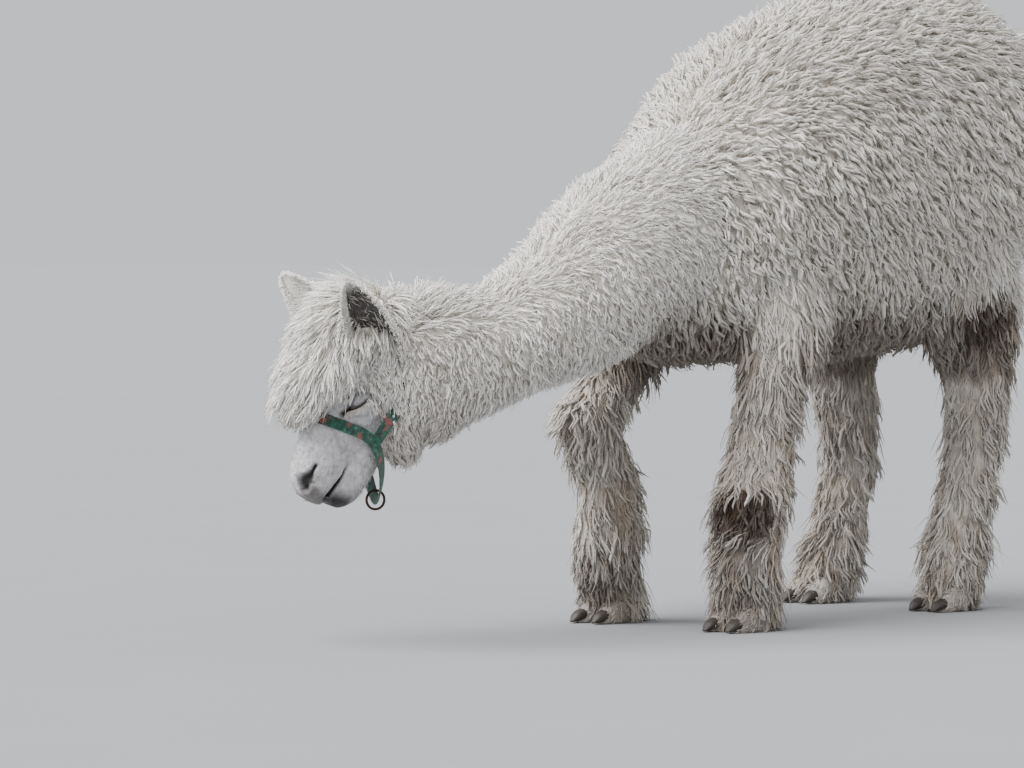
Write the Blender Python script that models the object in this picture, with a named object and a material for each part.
# A white huacaya alpaca, life size, grazing with its head low and turned a little to its right.
# Body frame while modelling: metres, +Z up, the animal faces -Y and its left side is +X,
# the floor is z = 0 and the middle of the four feet is the origin. The root empty then moves
# everything so that the finished model stands centred on the origin.

import math

import bmesh
import bpy
import numpy as np
from mathutils import kdtree

GAP = 0.0003
FLEECE_SEED = 11

# Whole-body sizes
BACK_HEIGHT = 0.912
BELLY_HEIGHT = 0.390
BODY_HALF_WIDTH = 0.195
CHEST_Y = -0.38
RUMP_Y = 0.475
STANCE_X = 0.122
LEG_CUT = 0.345
CUFF_HEIGHT = 0.024

# Depth of the fleece clumps over their core, and the share of it that each clump may vary by
CLUMP_BODY = 0.032
CLUMP_NECK = 0.024
CLUMP_LEG = 0.018
CLUMP_HEAD = 0.016
CLUMP_TAIL = 0.020
CLUMP_VARIES = 0.22

# Head: the poll, its heading to the animal's right, and the pitch of the face below level
POLL = np.array([-0.125, -0.760, 0.427])
HEAD_TURN = math.radians(27.0)
HEAD_PITCH = math.radians(68.5)
EYE_ALONG = 0.104
EYE_FRONT = 0.004
EYE_ASIDE = 0.0415
EYE_RADIUS = 0.0185
LID_THICKNESS = 0.003
EAR_WIDTH = 0.056
EAR_TIPS = {1: (-0.035, 0.110, 0.105), -1: (-0.037, -0.118, 0.113)}
EAR_THICKNESS = 0.0045
EAR_MOUTH = 0.0065
STRAP_WIDTH = 0.016
STRAP_THICKNESS = 0.0028
RING_RADIUS = 0.0130
RING_WIRE = 0.0018
RING_DROP = 0.0012

HEADING = np.array([-math.sin(HEAD_TURN), -math.cos(HEAD_TURN), 0.0])
UP = np.array([0.0, 0.0, 1.0])
HEAD_DOWN = math.cos(HEAD_PITCH) * HEADING - math.sin(HEAD_PITCH) * UP
HEAD_FRONT = math.sin(HEAD_PITCH) * HEADING + math.cos(HEAD_PITCH) * UP
HEAD_LEFT = np.array([math.cos(HEAD_TURN), -math.sin(HEAD_TURN), 0.0])


def head_point(along, aside, front):
    """A point of the head: down the face from the poll, to the animal's left, and out of the face."""
    return POLL + along * HEAD_DOWN + aside * HEAD_LEFT + front * HEAD_FRONT


def unit(vectors):
    return vectors / np.linalg.norm(vectors, axis=-1, keepdims=True)


def ease(knots, values, at):
    """Smooth curve through the values that never swings past them between two knots."""
    knots = np.asarray(knots, float)
    values = np.asarray(values, float).reshape(len(knots), -1)
    steps = np.diff(knots)[:, None]
    slopes = np.diff(values, axis=0) / steps
    tangents = np.zeros_like(values)
    same_way = slopes[:-1] * slopes[1:] > 0
    harmonic = 2 * slopes[:-1] * slopes[1:] / np.where(same_way, slopes[:-1] + slopes[1:], 1)
    tangents[1:-1] = np.where(same_way, harmonic, 0)
    tangents[0] = slopes[0]
    tangents[-1] = slopes[-1]
    at = np.asarray(at, float)
    span = np.clip(np.searchsorted(knots, at, side="right") - 1, 0, len(knots) - 2)
    width = steps[span]
    s = ((at - knots[span]) / width[:, 0])[:, None]
    return (
        (1 + 2 * s) * (1 - s) ** 2 * values[span]
        + s * (1 - s) ** 2 * width * tangents[span]
        + s**2 * (3 - 2 * s) * values[span + 1]
        + s**2 * (s - 1) * width * tangents[span + 1]
    )


class Tube:
    """A body of ring sections: each ring has a centre, a side and a front direction, and the
    half sizes to its side, its front and its back. The rings are spaced along its surface."""

    def __init__(self, centres, sides, fronts, halves, squareness=2.0):
        self.centres = np.array(centres, float)
        self.sides = unit(np.array(sides, float))
        self.fronts = unit(np.array(fronts, float))
        self.halves = np.array(halves, float)
        self.squareness = squareness
        meridian = self.centres + self.sides * self.halves[:, :1]
        lengths = np.linalg.norm(np.diff(meridian, axis=0), axis=1)
        middle = np.linalg.norm(np.diff(self.centres, axis=0), axis=1)
        walked = np.concatenate([[0.0], np.cumsum(np.maximum(lengths, middle))])
        self.length = walked[-1]
        self.knots = walked / walked[-1]

    def points(self, u, angle):
        u = np.clip(np.asarray(u, float), 0.0, 1.0).ravel()
        angle = np.asarray(angle, float).ravel()
        centre = ease(self.knots, self.centres, u)
        side = unit(ease(self.knots, self.sides, u))
        front = unit(ease(self.knots, self.fronts, u))
        half = ease(self.knots, self.halves, u)
        power = 2.0 / self.squareness
        across = np.sign(np.cos(angle)) * np.abs(np.cos(angle)) ** power
        ahead = np.sign(np.sin(angle)) * np.abs(np.sin(angle)) ** power
        reach = np.where(ahead > 0, half[:, 1], half[:, 2])
        return centre + side * (half[:, 0] * across)[:, None] + front * (reach * ahead)[:, None]

    def normals(self, u, angle):
        u = np.clip(np.asarray(u, float).ravel(), 0.004, 0.996)
        angle = np.asarray(angle, float).ravel()
        along = self.points(u + 0.004, angle) - self.points(u - 0.004, angle)
        around = self.points(u, angle + 0.02) - self.points(u, angle - 0.02)
        normal = unit(np.cross(around, along))
        outward = self.points(u, angle) - ease(self.knots, self.centres, u)
        flip = np.sign((normal * outward).sum(axis=1))
        return normal * np.where(flip == 0, 1, flip)[:, None]


def path_tube(stations, hint, first=None, last=None, squareness=2.0):
    """A tube square to a bent path. Each station is x, y, z, half side, half front, half back."""
    stations = np.array(stations, float)
    centres = stations[:, :3]
    tangents = unit(np.gradient(centres, axis=0))
    if first is not None:
        tangents[0] = unit(np.array(first))
    if last is not None:
        tangents[-1] = unit(np.array(last))
    sides = unit(np.cross(tangents, np.array(hint, float)))
    fronts = unit(np.cross(sides, tangents))
    return Tube(centres, sides, fronts, stations[:, 3:6], squareness)


def straight_tube(stations, side, front, squareness=2.0):
    """A tube whose rings all face one way. Each station is x, y, z and its three half sizes."""
    stations = np.array(stations, float)
    count = len(stations)
    return Tube(
        stations[:, :3], [side] * count, [front] * count, stations[:, 3:6], squareness
    )


def head_tube(stations, squareness=2.0):
    """A tube down the head. Each station is along, highest front, lowest front, half width."""
    rows = []
    for along, top, bottom, half in stations:
        centre = head_point(along, 0.0, 0.5 * (top + bottom))
        rows.append([*centre, half, 0.5 * (top - bottom), 0.5 * (top - bottom)])
    return straight_tube(rows, HEAD_LEFT, HEAD_FRONT, squareness)


def mesh_object(name, points, faces):
    """A closed mesh: each four-sided face is split from its first corner, so that a piece and
    the room that is cut for it are split alike."""
    split = []
    for face in faces:
        if len(face) == 4:
            split.append((face[0], face[1], face[2]))
            split.append((face[0], face[2], face[3]))
        else:
            split.append(face)
    mesh = bpy.data.meshes.new(name)
    mesh.from_pydata([tuple(point) for point in points], [], split)
    shell = bmesh.new()
    shell.from_mesh(mesh)
    bmesh.ops.recalc_face_normals(shell, faces=shell.faces)
    shell.to_mesh(mesh)
    shell.free()
    obj = bpy.data.objects.new(name, mesh)
    bpy.context.scene.collection.objects.link(obj)
    return obj


def smooth_loft(name, body, rows, columns):
    """A closed plain surface over a tube: a grid of quads with a flat cap at each end."""
    u = np.repeat(np.linspace(0, 1, rows + 1), columns)
    angle = np.tile(2 * math.pi * np.arange(columns) / columns, rows + 1)
    points = body.points(u, angle)
    faces = []
    for row in range(rows):
        for column in range(columns):
            after = (column + 1) % columns
            low = row * columns
            high = low + columns
            faces.append((low + column, low + after, high + after, high + column))
    faces.append(tuple(range(columns)))
    faces.append(tuple(rows * columns + k for k in range(columns)))
    return mesh_object(name, points, faces)


def clump_coat(name, body, rows, columns, height, lie, draw, walls=(), bare=()):
    """A closed fleece surface: a honeycomb of six-sided cells, each raised to one rounded clump
    that leans along the lie. The lie is a world direction, or a function of the clumps' roots.
    Walls are planes, as a point and an inward normal, that no clump may pass. The bare rows,
    which another body hides, stay flat cells."""
    double = 2 * columns
    zigzag = 0.17 / rows
    ring_u = np.zeros((rows + 1, double))
    ring_angle = np.zeros((rows + 1, double))
    for row in range(rows + 1):
        sign = np.where((np.arange(double) + row) % 2 == 1, -1.0, 1.0)
        inner = 0 < row < rows
        wander = draw.uniform(-0.09, 0.09, double) / rows
        ring_u[row] = row / rows + (zigzag * sign + wander if inner else 0.0)
        ring_angle[row] = 2 * math.pi * np.arange(double) / double
        ring_angle[row] += draw.uniform(-0.2, 0.2, double) * math.pi / columns if inner else 0.0
    points = [body.points(ring_u, ring_angle)]
    count = (rows + 1) * double
    faces = []
    for row in range(rows):
        for cell in range(columns):
            k = 2 * cell + row % 2
            lower = [row * double + (k + step) % double for step in (0, 1, 2)]
            upper = [(row + 1) * double + (k + step) % double for step in (2, 1, 0)]
            border = lower + upper
            cell_u = np.array([ring_u.ravel()[index] for index in border])
            cell_angle = np.array([ring_angle.ravel()[index] for index in border])
            start = ring_angle[row, k % double]
            cell_angle = start + (cell_angle - start + math.pi) % (2 * math.pi) - math.pi
            if columns < 4:
                cell_angle = start + (cell_angle - start) % (2 * math.pi)
            middle_u = cell_u.mean()
            middle_angle = cell_angle.mean()
            if row in bare:
                faces.append(tuple(border))
                continue
            swell = height * (1 + CLUMP_VARIES * draw.uniform(-1, 1))
            size = body.length / rows
            turn = int(draw.integers(0, 2))
            for share, rise, drift, every in ((0.84, 0.66, 0.05, 1), (0.42, 1.0, 0.20, 2)):
                spread_u = middle_u + share * (cell_u - middle_u)
                spread_angle = middle_angle + share * (cell_angle - middle_angle)
                picked = np.arange(turn if every == 2 else 0, 6, every)
                root = body.points(spread_u[picked], spread_angle[picked])
                normal = body.normals(spread_u[picked], spread_angle[picked])
                way = lie(root) if callable(lie) else np.tile(np.array(lie, float), (len(root), 1))
                way = way - normal * (way * normal).sum(axis=1, keepdims=True)
                raised = root + normal * (rise * swell) + way * (drift * size)
                for point, inward in walls:
                    depth = (raised - point) @ inward
                    margin = draw.uniform(0.0015, 0.004)
                    raised = raised + np.maximum(0.0, margin - depth)[:, None] * inward
                points.append(raised)
            foot = [count + step for step in range(6)]
            crown = [count + 6 + step for step in range(3)]
            count += 9
            for step in range(6):
                after = (step + 1) % 6
                faces.append((border[step], border[after], foot[after], foot[step]))
            for step in range(3):
                at = 2 * step + turn
                left, under, right = foot[(at - 1) % 6], foot[at % 6], foot[(at + 1) % 6]
                faces.append((left, under, crown[step]))
                faces.append((under, right, crown[step]))
                faces.append((right, crown[(step + 1) % 3], crown[step]))
            faces.append(tuple(crown))
    faces.append(tuple(range(double)))
    faces.append(tuple(rows * double + k for k in range(double)))
    return mesh_object(name, np.concatenate(points), faces)


def ellipsoid(name, centre, axes, halves, columns=12, rows=8):
    """A closed ball stretched along three directions, the last one through its poles."""
    polar = np.repeat(math.pi * np.arange(1, rows) / rows, columns)
    angle = np.tile(2 * math.pi * np.arange(columns) / columns, rows - 1)
    local = np.stack(
        [np.sin(polar) * np.cos(angle), np.sin(polar) * np.sin(angle), np.cos(polar)], axis=1
    )
    local = np.concatenate([local, [[0, 0, 1], [0, 0, -1]]]) * np.array(halves)
    points = np.array(centre) + local @ np.array(axes, float)
    top = (rows - 1) * columns
    faces = []
    for column in range(columns):
        after = (column + 1) % columns
        faces.append((column, after, top))
        last = (rows - 2) * columns
        faces.append((last + column, last + after, top + 1))
        for row in range(rows - 2):
            low = row * columns
            high = low + columns
            faces.append((low + column, low + after, high + after, high + column))
    return mesh_object(name, points, faces)


def beyond(name, point, way, size=0.6):
    """A large block whose one face passes through a point, and which lies on the far side of it."""
    way = unit(np.array(way, float))
    aside = unit(np.cross(way, UP))
    upward = np.cross(aside, way)
    corners = []
    for far in (0.0, size):
        for left, high in ((-1, -1), (1, -1), (1, 1), (-1, 1)):
            corners.append(point + way * far + 0.5 * size * (left * aside + high * upward))
    faces = [(0, 1, 2, 3), (4, 5, 6, 7), (0, 1, 5, 4), (1, 2, 6, 5), (2, 3, 7, 6), (3, 0, 4, 7)]
    return mesh_object(name, corners, faces)


def strap(name, points, outward, width, thickness, closed=False):
    """A flat strap along a path: its width lies across the path and the outward direction."""
    points = np.array(points, float)
    outward = unit(np.array(outward, float))
    if closed:
        along = unit(np.roll(points, -1, axis=0) - np.roll(points, 1, axis=0))
    else:
        along = unit(np.gradient(points, axis=0))
    across = unit(np.cross(along, outward))
    out = unit(np.cross(across, along))
    corners = []
    for across_by, out_by in ((-0.5, 0.0), (0.5, 0.0), (0.5, 1.0), (-0.5, 1.0)):
        corners.append(points + across * width * across_by + out * thickness * out_by)
    rows = np.stack(corners, axis=1)
    count = len(points)
    faces = []
    for row in range(count if closed else count - 1):
        for corner in range(4):
            after = (corner + 1) % 4
            ahead = (row + 1) % count
            faces.append(
                (4 * row + corner, 4 * row + after, 4 * ahead + after, 4 * ahead + corner)
            )
    if not closed:
        faces.append((0, 1, 2, 3))
        faces.append(tuple(4 * (count - 1) + corner for corner in range(4)))
    return mesh_object(name, rows.reshape(-1, 3), faces)


def torus(name, centre, axis_a, axis_b, radius, wire, around=16, section=6):
    """A round ring of wire in the plane of two directions."""
    axis_a = unit(np.array(axis_a, float))
    axis_b = unit(np.array(axis_b, float))
    normal = np.cross(axis_a, axis_b)
    points = []
    faces = []
    for step in range(around):
        turn = 2 * math.pi * step / around
        out = axis_a * math.cos(turn) + axis_b * math.sin(turn)
        for corner in range(section):
            angle = 2 * math.pi * corner / section
            points.append(
                centre + out * (radius + wire * math.cos(angle)) + normal * wire * math.sin(angle)
            )
            after = (corner + 1) % section
            ahead = (step + 1) % around
            faces.append(
                (
                    section * step + corner,
                    section * step + after,
                    section * ahead + after,
                    section * ahead + corner,
                )
            )
    return mesh_object(name, points, faces)


TOO_CLOSE = 0.000006
MOVED_APART = 0.00005


def clear_close_points(shell):
    """Moves apart the points of a union that nearly touch, along the surface where they share an
    edge and out of it where they don't."""
    shell.verts.ensure_lookup_table()
    shell.verts.index_update()
    shell.normal_update()
    tree = kdtree.KDTree(len(shell.verts))
    for vert in shell.verts:
        tree.insert(vert.co, vert.index)
    tree.balance()
    for vert in shell.verts:
        for _, index, apart in tree.find_range(vert.co, TOO_CLOSE):
            if index > vert.index:
                near = shell.verts[index]
                way = near.co - vert.co if apart > 0.0000002 else near.normal
                near.co += way.normalized() * MOVED_APART


def settle(obj):
    """Keeps only the largest closed surface of a mesh, made of triangles."""
    shell = bmesh.new()
    shell.from_mesh(obj.data)
    bmesh.ops.triangulate(shell, faces=shell.faces)
    clear_close_points(shell)
    left = set(shell.faces)
    bodies = []
    while left:
        seed = left.pop()
        body = [seed]
        rim = [seed]
        while rim:
            for edge in rim.pop().edges:
                for face in edge.link_faces:
                    if face in left:
                        left.discard(face)
                        body.append(face)
                        rim.append(face)
        bodies.append(body)
    bodies.sort(key=len, reverse=True)
    for body in bodies[1:]:
        bmesh.ops.delete(shell, geom=body, context="FACES")
    shell.to_mesh(obj.data)
    shell.free()
    return obj


def combine(name, base, others, operation):
    """One Boolean of the other objects on the base, applied, with the others then removed. The
    exact solver leaves single edges where clumps of two bodies graze, so this one is used."""
    helpers = bpy.data.collections.new(name + "_pieces")
    bpy.context.scene.collection.children.link(helpers)
    for other in others:
        helpers.objects.link(other)
        bpy.context.scene.collection.objects.unlink(other)
    boolean = base.modifiers.new("join", "BOOLEAN")
    boolean.operation = operation
    boolean.operand_type = "COLLECTION"
    boolean.collection = helpers
    boolean.solver = "MANIFOLD"
    bpy.context.view_layer.update()
    graph = bpy.context.evaluated_depsgraph_get()
    mesh = bpy.data.meshes.new_from_object(base.evaluated_get(graph))
    base.modifiers.clear()
    base.data = mesh
    mesh.name = name
    base.name = name
    for other in list(helpers.objects):
        bpy.data.objects.remove(other)
    bpy.data.collections.remove(helpers)
    return settle(base)


def material(name, colour, roughness, metallic=0.0):
    made = bpy.data.materials.new(name)
    made.use_nodes = True
    shader = made.node_tree.nodes["Principled BSDF"]
    shader.inputs["Base Color"].default_value = (*colour, 1.0)
    shader.inputs["Roughness"].default_value = roughness
    shader.inputs["Metallic"].default_value = metallic
    made.diffuse_color = (*colour, 1.0)
    return made


def finish_node(obj, name, look, root):
    """Names a node, gives it its material and hangs it on the root."""
    obj.name = name
    obj.data.name = name
    obj.data.materials.clear()
    obj.data.materials.append(look)
    obj.data.shade_smooth()
    obj.data.set_sharp_from_angle(angle=math.radians(50))
    obj.parent = root
    return obj


# Neck: a path from inside the chest to the head, bent to the animal's right
NECK_ROOT_CUT = np.array([0.0, -0.430, 0.506])
NECK_ROOT_WAY = unit(np.array([-0.09, -0.84, -0.53]))
NECK_HEAD_CUT = np.array([-0.0895, -0.706, 0.374])
NECK_HEAD_WAY = unit(np.array([-0.41, -0.87, -0.27]))
NECK_STATIONS = [
    [*NECK_ROOT_CUT, 0.102, 0.102, 0.113],
    [-0.014, -0.501, 0.458, 0.092, 0.086, 0.096],
    [-0.027, -0.551, 0.433, 0.085, 0.077, 0.082],
    [-0.043, -0.597, 0.410, 0.080, 0.071, 0.074],
    [-0.060, -0.639, 0.396, 0.078, 0.080, 0.078],
    [-0.078, -0.682, 0.384, 0.080, 0.088, 0.086],
    [*NECK_HEAD_CUT, 0.080, 0.092, 0.090],
]


def leg_tubes():
    """Each leg's path: name, its side, its stations, and the direction of its foot."""
    front = [
        [STANCE_X, -0.196, 0.345, 0.043, 0.044, 0.044],
        [STANCE_X, -0.210, 0.285, 0.040, 0.040, 0.040],
        [STANCE_X, -0.224, 0.235, 0.043, 0.044, 0.042],
        [STANCE_X, -0.240, 0.190, 0.047, 0.048, 0.048],
        [STANCE_X, -0.251, 0.140, 0.044, 0.043, 0.046],
        [STANCE_X, -0.255, 0.075, 0.043, 0.042, 0.045],
        [STANCE_X, -0.255, CUFF_HEIGHT, 0.046, 0.045, 0.048],
    ]
    stepping = [
        [-STANCE_X, -0.258, 0.345, 0.042, 0.046, 0.046],
        [-STANCE_X, -0.300, 0.295, 0.041, 0.044, 0.040],
        [-STANCE_X, -0.292, 0.255, 0.039, 0.042, 0.038],
        [-STANCE_X, -0.266, 0.210, 0.037, 0.036, 0.040],
        [-STANCE_X, -0.262, 0.145, 0.042, 0.038, 0.048],
        [-STANCE_X, -0.266, 0.090, 0.040, 0.038, 0.044],
        [-STANCE_X, -0.250, CUFF_HEIGHT, 0.042, 0.042, 0.042],
    ]
    hind_left = [
        [STANCE_X, 0.306, 0.345, 0.044, 0.050, 0.048],
        [STANCE_X, 0.304, 0.285, 0.041, 0.043, 0.043],
        [STANCE_X, 0.297, 0.235, 0.037, 0.035, 0.038],
        [STANCE_X, 0.274, 0.162, 0.034, 0.033, 0.034],
        [STANCE_X, 0.253, 0.085, 0.039, 0.038, 0.040],
        [STANCE_X, 0.238, CUFF_HEIGHT, 0.045, 0.043, 0.047],
    ]
    hind_right = [
        [-STANCE_X, 0.300, 0.345, 0.044, 0.050, 0.048],
        [-STANCE_X, 0.312, 0.285, 0.041, 0.043, 0.043],
        [-STANCE_X, 0.318, 0.225, 0.037, 0.035, 0.038],
        [-STANCE_X, 0.303, 0.150, 0.034, 0.033, 0.034],
        [-STANCE_X, 0.282, 0.085, 0.040, 0.038, 0.044],
        [-STANCE_X, 0.248, CUFF_HEIGHT, 0.045, 0.043, 0.047],
    ]
    return {
        "leg_front_left": front,
        "leg_front_right": stepping,
        "leg_hind_left": hind_left,
        "leg_hind_right": hind_right,
    }


# The upper part of each leg, hidden in the body, from the leg's own top ring up into the barrel
LEG_ROOTS = {
    "leg_front_left": [
        [0.115, -0.165, 0.42, 0.056, 0.066, 0.066],
        [0.09, -0.15, 0.56, 0.06, 0.09, 0.09],
    ],
    "leg_front_right": [
        [-0.115, -0.195, 0.42, 0.056, 0.066, 0.066],
        [-0.09, -0.16, 0.56, 0.06, 0.09, 0.09],
    ],
    "leg_hind_left": [
        [0.120, 0.285, 0.43, 0.062, 0.090, 0.082],
        [0.10, 0.27, 0.58, 0.075, 0.13, 0.11],
    ],
    "leg_hind_right": [
        [-0.120, 0.285, 0.43, 0.062, 0.090, 0.082],
        [-0.10, 0.27, 0.58, 0.075, 0.13, 0.11],
    ],
}
LEG_SIDE = (1.0, 0.0, 0.0)
LEG_FRONT = (0.0, -1.0, 0.0)

BARREL = [
    # share of the length, share of the half width, top and bottom of the core
    (0.00, 0.20, 0.560, 0.440),
    (0.05, 0.40, 0.610, 0.405),
    (0.13, 0.62, 0.685, 0.388),
    (0.22, 0.82, 0.765, BELLY_HEIGHT),
    (0.40, 0.97, 0.855, BELLY_HEIGHT),
    (0.60, 1.00, 0.900, BELLY_HEIGHT),
    (0.78, 0.97, BACK_HEIGHT, 0.405),
    (0.89, 0.86, 0.900, 0.440),
    (0.96, 0.60, 0.850, 0.500),
    (1.00, 0.22, 0.750, 0.600),
]
TAIL_CUT = 0.800
# x, y, z and three half sizes down the tail, the first rows inside the rump
TAIL = [
    [0.0, 0.400, 0.852, 0.034, 0.034, 0.034],
    [0.0, 0.486, 0.845, 0.041, 0.039, 0.039],
    [0.0, 0.534, TAIL_CUT, 0.042, 0.030, 0.030],
    [0.0, 0.546, 0.750, 0.042, 0.028, 0.028],
    [0.0, 0.546, 0.695, 0.034, 0.022, 0.024],
    [0.0, 0.540, 0.655, 0.016, 0.012, 0.012],
]


def barrel_tube():
    rows = []
    for share, wide, top, bottom in BARREL:
        y = CHEST_Y + share * (RUMP_Y - CHEST_Y)
        half = 0.5 * (top - bottom)
        rows.append([0.0, y, 0.5 * (top + bottom), wide * BODY_HALF_WIDTH, half, half])
    return straight_tube(rows, (1, 0, 0), (0, 0, 1), squareness=2.15)


def barrel_lie(root):
    """The fleece of the barrel hangs down and sweeps a little to the back."""
    away = np.zeros_like(root)
    away[:, 1] = 0.45
    away[:, 2] = -0.9
    return away


def build_torso(draw):
    barrel = clump_coat("barrel", barrel_tube(), 9, 15, CLUMP_BODY, barrel_lie, draw)
    pieces = []
    neck_root = path_tube(
        [
            [0.000, -0.190, 0.600, 0.105, 0.120, 0.140],
            [0.000, -0.310, 0.556, 0.108, 0.114, 0.130],
            NECK_STATIONS[0],
        ],
        UP,
        last=NECK_ROOT_WAY,
    )
    wall = (NECK_ROOT_CUT, -NECK_ROOT_WAY)
    pieces.append(
        clump_coat("neck_root", neck_root, 3, 11, CLUMP_NECK, (0, 0.2, -0.9), draw, [wall], bare=[0])
    )
    for name, stations in leg_tubes().items():
        top = list(stations[0])
        top[2] = LEG_CUT + GAP
        upper = [top, *LEG_ROOTS[name]]
        tube = straight_tube(upper, LEG_SIDE, LEG_FRONT)
        floor = (np.array([0, 0, LEG_CUT + GAP]), UP)
        pieces.append(
            clump_coat(name + "_root", tube, 3, 5, CLUMP_LEG, (0, 0, -1), draw, [floor], bare=[2])
        )
    tail_top = [list(row) for row in TAIL[:3]]
    tail_top[-1][2] = TAIL_CUT + GAP
    tube = straight_tube(tail_top, (1, 0, 0), (0, 1, 0))
    floor = (np.array([0, 0, TAIL_CUT + GAP]), UP)
    pieces.append(
        clump_coat("tail_root", tube, 3, 5, CLUMP_TAIL, (0, 0, -1), draw, [floor], bare=[0, 1])
    )
    torso = combine("torso", barrel, pieces, "UNION")
    return combine("torso", torso, [beyond("cut", NECK_ROOT_CUT, NECK_ROOT_WAY)], "DIFFERENCE")


def build_neck(draw):
    rows = [list(row) for row in NECK_STATIONS]
    tube = path_tube(rows, UP, first=NECK_ROOT_WAY, last=NECK_HEAD_WAY)
    tube.centres[0] += NECK_ROOT_WAY * GAP
    tube.centres[-1] -= NECK_HEAD_WAY * GAP
    walls = [
        (NECK_ROOT_CUT + NECK_ROOT_WAY * GAP, NECK_ROOT_WAY),
        (NECK_HEAD_CUT - NECK_HEAD_WAY * GAP, -NECK_HEAD_WAY),
    ]
    return settle(clump_coat("neck", tube, 6, 11, CLUMP_NECK, (0, 0.35, -0.8), draw, walls))


def build_tail(draw):
    tube = straight_tube(TAIL[2:], (1, 0, 0), (0, 1, 0))
    clear_of_rump = np.array([0.0, RUMP_Y + CLUMP_BODY + 0.006, 0.0])
    walls = [(np.array([0, 0, TAIL_CUT]), -UP), (clear_of_rump, np.array([0, 1.0, 0]))]
    return settle(clump_coat("tail", tube, 4, 5, CLUMP_TAIL, (0, 0, -1), draw, walls))


def toe(name, x, y, heel, tip):
    """One toe: a flat-soled arch that runs forward from the heel to a flat front for its nail."""
    sections = [
        (heel, 0.0135, 0.036),
        (heel + 0.35 * (tip - heel), 0.0175, 0.056),
        (heel + 0.75 * (tip - heel), 0.0165, 0.036),
        (tip, 0.0125, 0.021),
    ]
    half_outline = [(1.0, 0.0), (1.08, 0.35), (0.72, 0.82)]
    outline = [(-side, up) for side, up in half_outline] + [(0.0, 1.0)] + half_outline[::-1]
    points = []
    for along, half, tall in sections:
        points.extend([(x + half * side, y - along, tall * up) for side, up in outline])
    return loft_rings(name, points, len(outline))


def loft_rings(name, points, ring):
    """Skins equal rings of points, in order, and closes both ends."""
    rows = len(points) // ring
    faces = [tuple(range(ring)), tuple((rows - 1) * ring + k for k in range(ring))]
    for row in range(rows - 1):
        low = row * ring
        high = low + ring
        for corner in range(ring):
            after = (corner + 1) % ring
            faces.append((low + corner, low + after, high + after, high + corner))
    return mesh_object(name, points, faces)


TOE_ASIDE = 0.0200
TOE_HEEL = -0.030
TOE_TIP = 0.052
NAIL_LENGTH = 0.019


def nail(name, x, y):
    """A toe nail: a dark ridged wedge that grows from the toe's flat front and points down."""
    outline = [(-1.0, 0.0), (-0.95, 0.45), (0.0, 1.0), (0.95, 0.45), (1.0, 0.0)]
    sections = [
        (TOE_TIP + GAP, 0.0110, 0.0035, 0.0165),
        (TOE_TIP + 0.55 * NAIL_LENGTH, 0.0085, 0.0025, 0.0125),
        (TOE_TIP + NAIL_LENGTH, 0.0030, 0.0020, 0.0030),
    ]
    points = []
    for along, half, low, tall in sections:
        points.extend([(x + half * side, y - along, low + tall * up) for side, up in outline])
    return loft_rings(name, points, len(outline))


def build_leg(name, stations, draw):
    rows = [list(row) for row in stations]
    rows[0][2] = LEG_CUT
    tube = straight_tube(rows, LEG_SIDE, LEG_FRONT)
    walls = [(np.array([0, 0, LEG_CUT]), -UP), (np.array([0, 0, 0.008]), UP)]
    wool = clump_coat(name, tube, 6, 5, CLUMP_LEG, (0, 0, -1), draw, walls)
    x, y = rows[-1][0], rows[-1][1]
    toes = [
        toe(name + "_toe", x + side * TOE_ASIDE, y, TOE_HEEL, TOE_TIP)
        for side in (-1, 1)
    ]
    return combine(name, wool, toes, "UNION")


SKULL = [
    # along, front edge, back edge, half width
    (-0.030, 0.020, -0.050, 0.030),
    (0.000, 0.048, -0.070, 0.052),
    (0.050, 0.060, -0.075, 0.058),
    (0.100, 0.058, -0.060, 0.054),
    (0.135, 0.054, -0.045, 0.043),
    (0.170, 0.051, -0.032, 0.035),
    (0.200, 0.049, -0.024, 0.032),
    (0.225, 0.043, -0.019, 0.030),
    (0.240, 0.030, -0.017, 0.024),
    (0.249, 0.012, -0.013, 0.012),
]
JAW = [
    (0.050, -0.020, -0.080, 0.040),
    (0.110, -0.012, -0.076, 0.038),
    (0.160, -0.006, -0.068, 0.031),
    (0.200, -0.008, -0.060, 0.026),
    (0.225, -0.010, -0.052, 0.022),
    (0.238, -0.014, -0.040, 0.015),
    (0.243, -0.020, -0.032, 0.007),
]
HOOD = [
    (-0.038, 0.020, -0.028, 0.032),
    (-0.022, 0.034, -0.046, 0.056),
    (0.020, 0.040, -0.066, 0.068),
    (0.060, 0.020, -0.086, 0.070),
    (0.095, -0.022, -0.096, 0.064),
    (0.122, -0.046, -0.104, 0.050),
    (0.142, -0.066, -0.106, 0.026),
]
TOPKNOT = [
    (-0.036, 0.045, -0.010, 0.034),
    (-0.018, 0.070, -0.020, 0.056),
    (0.020, 0.088, -0.012, 0.068),
    (0.060, 0.091, 0.012, 0.066),
    (0.098, 0.092, 0.034, 0.054),
    (0.122, 0.089, 0.044, 0.040),
    (0.138, 0.080, 0.052, 0.022),
]


def slit(name, centre, long_way, out_way, half_long, half_wide, half_deep):
    """A lens-shaped cutter whose long axis lies on the face and whose depth goes into it."""
    long_way = unit(np.array(long_way, float))
    out_way = unit(np.array(out_way, float))
    across = unit(np.cross(long_way, out_way))
    out_way = np.cross(across, long_way)
    return ellipsoid(
        name, centre, [across, out_way, long_way], (half_wide, half_deep, half_long), 8, 8
    )


def eye_centre(side):
    return head_point(EYE_ALONG, side * EYE_ASIDE, EYE_FRONT)


def eye_axes(side):
    return [HEAD_DOWN, HEAD_FRONT, side * HEAD_LEFT]


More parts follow.
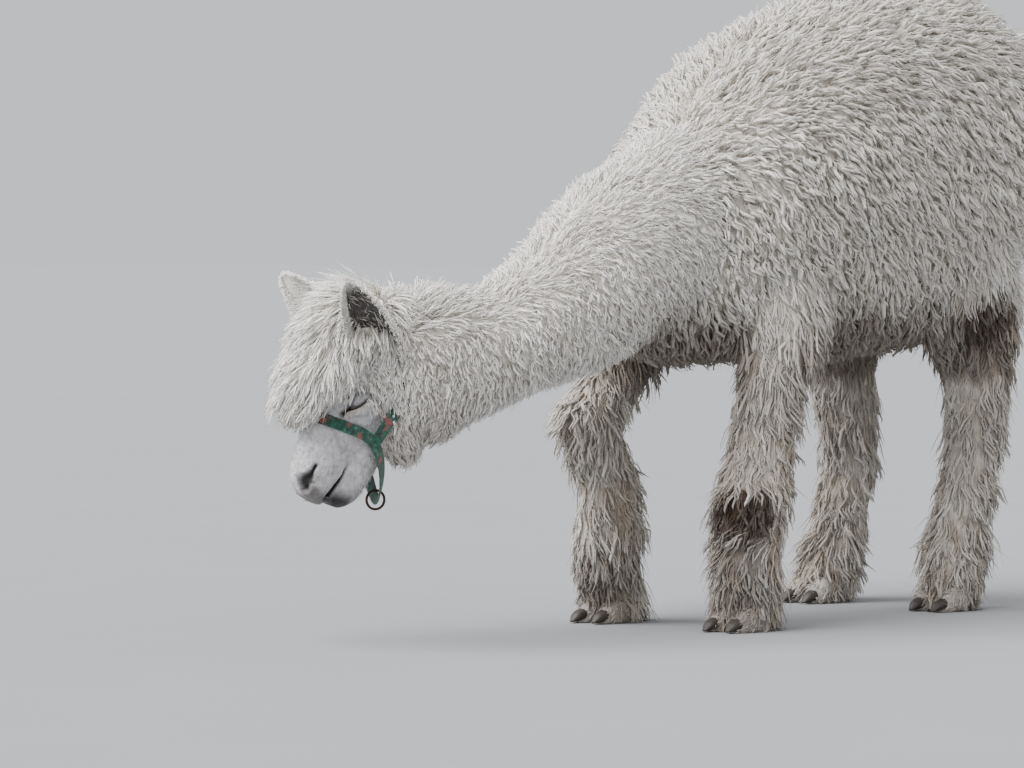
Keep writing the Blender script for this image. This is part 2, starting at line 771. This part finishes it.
def ear_solid(name, side, room=0.0):
    """A spear-shaped cup: a leaf that is rolled round its own length, most at the base, and
    has one thickness. With room it is the space that the ear and its open cup need in the wool."""
    base = head_point(0.022, side * 0.046, -0.008)
    tip = head_point(*EAR_TIPS[side])
    length_way = unit(tip - base)
    face = (0.75, 0.60, -0.10) if side > 0 else (0.50, 0.80, 0.30)
    opening = head_point(*face) - POLL
    opening = unit(opening - length_way * (opening @ length_way))
    across = np.cross(length_way, opening)
    length = np.linalg.norm(tip - base)
    rows = 8
    columns = 6
    inner = []
    outer = []
    for row in range(rows + 1):
        u = row / rows
        leaf = math.sin(math.pi * (0.22 + 0.78 * u**0.9)) ** 0.7 if row < rows else 0.0
        width = EAR_WIDTH * leaf + 0.004
        roll = math.radians(60 + 190 * (1 - u) ** 1.2)
        radius = width / (2 * math.sin(min(roll, math.pi) / 2))
        roll += 2 * room / radius
        thick = EAR_THICKNESS * (1 - 0.45 * u)
        centre = base + length_way * ((length + 2 * room) * u - room) + opening * radius
        for column in range(columns + 1):
            angle = roll * (column / columns - 0.5)
            away = across * math.sin(angle) - opening * math.cos(angle)
            outer.append(centre + away * (radius + 0.5 * thick + room))
            inner.append(centre + away * (radius - 0.5 * thick))
        if room:
            left, right = outer[-columns - 1], outer[-1]
            shares = np.linspace(0, 1, columns + 1)[:, None]
            inner[-columns - 1 :] = list(left + shares * (right - left) + opening * EAR_MOUTH)
    points = outer + inner
    stride = columns + 1
    shift = len(outer)
    faces = []
    for row in range(rows):
        for column in range(columns):
            a = row * stride + column
            faces.append((a, a + 1, a + stride + 1, a + stride))
            b = shift + a
            faces.append((b, b + stride, b + stride + 1, b + 1))
        for column in (0, columns):
            a = row * stride + column
            faces.append((a, a + stride, shift + a + stride, shift + a))
    for row in (0, rows):
        for column in range(columns):
            a = row * stride + column
            faces.append((a, shift + a, shift + a + 1, a + 1))
    return mesh_object(name, points, faces)


def halter_path():
    """The loop of webbing: across the nose, down both cheeks and loosely under the jaw."""
    count = 28
    points = []
    outward = []
    for step in range(count):
        turn = 2 * math.pi * step / count
        aside = math.cos(turn)
        ahead = math.sin(turn)
        if ahead >= 0:
            place = (0.142, 0.0455 * aside, -0.006 + 0.0615 * ahead)
        else:
            sag = ahead**2
            half = 0.0455 * (1 - 0.16 * sag)
            place = (0.142 + 0.0715 * sag, half * aside, -0.006 - 0.077 * (-ahead) ** 0.80)
        points.append(head_point(*place))
        outward.append(head_point(0.0, aside, 1.1 * ahead) - POLL)
    return points, outward


def halter_solid(name, grow=0.0):
    points, outward = halter_path()
    outward = [unit(np.array(way)) for way in outward]
    points = [point - way * grow for point, way in zip(points, outward)]
    loop = strap(
        name, points, outward, STRAP_WIDTH + 2 * grow, STRAP_THICKNESS + 2 * grow, closed=True
    )
    cheeks = []
    for side in (-1, 1):
        run = [
            (0.150, 0.0425, -0.036),
            (0.135, 0.0462, -0.039),
            (0.115, 0.0530, -0.042),
            (0.094, 0.0590, -0.046),
        ]
        way = head_point(-0.2, side, 0.0) - POLL
        path = [head_point(along, side * (aside - grow), front) for along, aside, front in run]
        path[-1] = path[-1] + unit(path[-1] - path[-2]) * grow
        cheeks.append(
            strap(
                name + "_cheek",
                path,
                [way] * len(path),
                STRAP_WIDTH + 2 * grow,
                STRAP_THICKNESS + 0.0009 + 2 * grow,
            )
        )
    return combine(name, loop, cheeks, "UNION")


def build_head(draw):
    skull = smooth_loft("skull", head_tube(SKULL, 2.2), 14, 16)
    jaw = smooth_loft("jaw", head_tube(JAW, 2.2), 8, 12)
    wall = (NECK_HEAD_CUT, NECK_HEAD_WAY)
    down = HEAD_DOWN
    hood = clump_coat("hood", head_tube(HOOD), 5, 8, CLUMP_HEAD, down, draw, [wall])
    topknot = clump_coat("topknot", head_tube(TOPKNOT), 5, 8, CLUMP_HEAD, down, draw, [wall])
    neck_end = NECK_STATIONS[-1]
    stub = path_tube(
        [
            [*NECK_HEAD_CUT, *neck_end[3:]],
            [*(NECK_HEAD_CUT + 0.035 * NECK_HEAD_WAY), 0.076, 0.086, 0.088],
            [*(NECK_HEAD_CUT + 0.070 * NECK_HEAD_WAY), 0.052, 0.060, 0.060],
        ],
        UP,
        first=NECK_HEAD_WAY,
        last=NECK_HEAD_WAY,
    )
    nape = clump_coat("nape", stub, 3, 9, CLUMP_HEAD, (0, 0, -1), draw, [wall], bare=[1, 2])
    lids = [
        ellipsoid("lids", eye_centre(side), eye_axes(side), [EYE_RADIUS + LID_THICKNESS] * 3, 10, 8)
        for side in (-1, 1)
    ]
    head = combine("head", skull, [jaw, hood, topknot, nape, *lids], "UNION")
    cutters = []
    for side in (-1, 1):
        cutters.append(
            ellipsoid("socket", eye_centre(side), eye_axes(side), [EYE_RADIUS + GAP] * 3, 10, 8)
        )
        opening = head_point(EYE_ALONG, side * (EYE_ASIDE + 0.019), EYE_FRONT)
        long_way = head_point(0.033, 0, 0.030) - POLL
        out_way = head_point(0, side, 0) - POLL
        cutters.append(slit("eye_slit", opening, long_way, out_way, 0.0200, 0.0042, 0.012))
        nostril = head_point(0.222, side * 0.0290, 0.021)
        long_way = head_point(0.036, side * -0.006, 0.011) - POLL
        cutters.append(slit("nostril", nostril, long_way, out_way, 0.0170, 0.0030, 0.0100))
        cutters.append(ear_solid("ear_room", side, GAP))
    cleft = head_point(0.246, 0, 0.012)
    cutters.append(
        slit("cleft", cleft, HEAD_FRONT - 0.5 * HEAD_DOWN, HEAD_DOWN, 0.020, 0.0014, 0.006)
    )
    cutters.append(halter_solid("halter_room", GAP))
    cutters.append(beyond("cut", NECK_HEAD_CUT, -NECK_HEAD_WAY, 0.4))
    return combine("head", head, cutters, "DIFFERENCE")


def main():
    for old in list(bpy.data.objects):
        bpy.data.objects.remove(old)
    draw = np.random.default_rng(FLEECE_SEED)
    fleece = material("fleece", (0.76, 0.74, 0.71), 0.95)
    ear_skin = material("ear_skin", (0.42, 0.37, 0.36), 0.8)
    eye_dark = material("eye_dark", (0.02, 0.015, 0.015), 0.1)
    nail_horn = material("nail_horn", (0.06, 0.05, 0.045), 0.45)
    webbing = material("webbing", (0.01, 0.12, 0.09), 0.7)
    steel = material("dark_metal", (0.09, 0.06, 0.05), 0.4, 1.0)
    root = bpy.data.objects.new("alpaca", None)
    bpy.context.scene.collection.objects.link(root)
    nodes = []
    nodes.append(finish_node(build_torso(draw), "torso", fleece, root))
    nodes.append(finish_node(build_neck(draw), "neck", fleece, root))
    nodes.append(finish_node(build_tail(draw), "tail", fleece, root))
    for name, stations in leg_tubes().items():
        nodes.append(finish_node(build_leg(name, stations, draw), name, fleece, root))
        x, y = stations[-1][:2]
        for side, which in ((-1, "right"), (1, "left")):
            horn = nail("nail", x + side * TOE_ASIDE, y)
            nodes.append(finish_node(horn, name.replace("leg", "nail") + "_" + which, nail_horn, root))
    nodes.append(finish_node(build_head(draw), "head", fleece, root))
    for side, which in ((-1, "right"), (1, "left")):
        nodes.append(finish_node(settle(ear_solid("ear", side)), "ear_" + which, ear_skin, root))
        ball = ellipsoid("eye", eye_centre(side), eye_axes(side), [EYE_RADIUS] * 3, 10, 8)
        nodes.append(finish_node(ball, "eye_" + which, eye_dark, root))
    nodes.append(finish_node(halter_solid("halter"), "halter", webbing, root))
    points, _ = halter_path()
    lowest = points[21] + RING_DROP * HEAD_DOWN
    ring = torus("halter_ring", lowest, HEAD_DOWN, HEAD_FRONT, RING_RADIUS, RING_WIRE)
    nodes.append(finish_node(ring, "halter_ring", steel, root))
    corners = []
    for node in nodes:
        spots = np.array([vert.co for vert in node.data.vertices])
        corners.append(spots.min(axis=0))
        corners.append(spots.max(axis=0))
    low = np.min(corners, axis=0)
    high = np.max(corners, axis=0)
    root.location = (-0.5 * (low[0] + high[0]), -0.5 * (low[1] + high[1]), -low[2])


main()
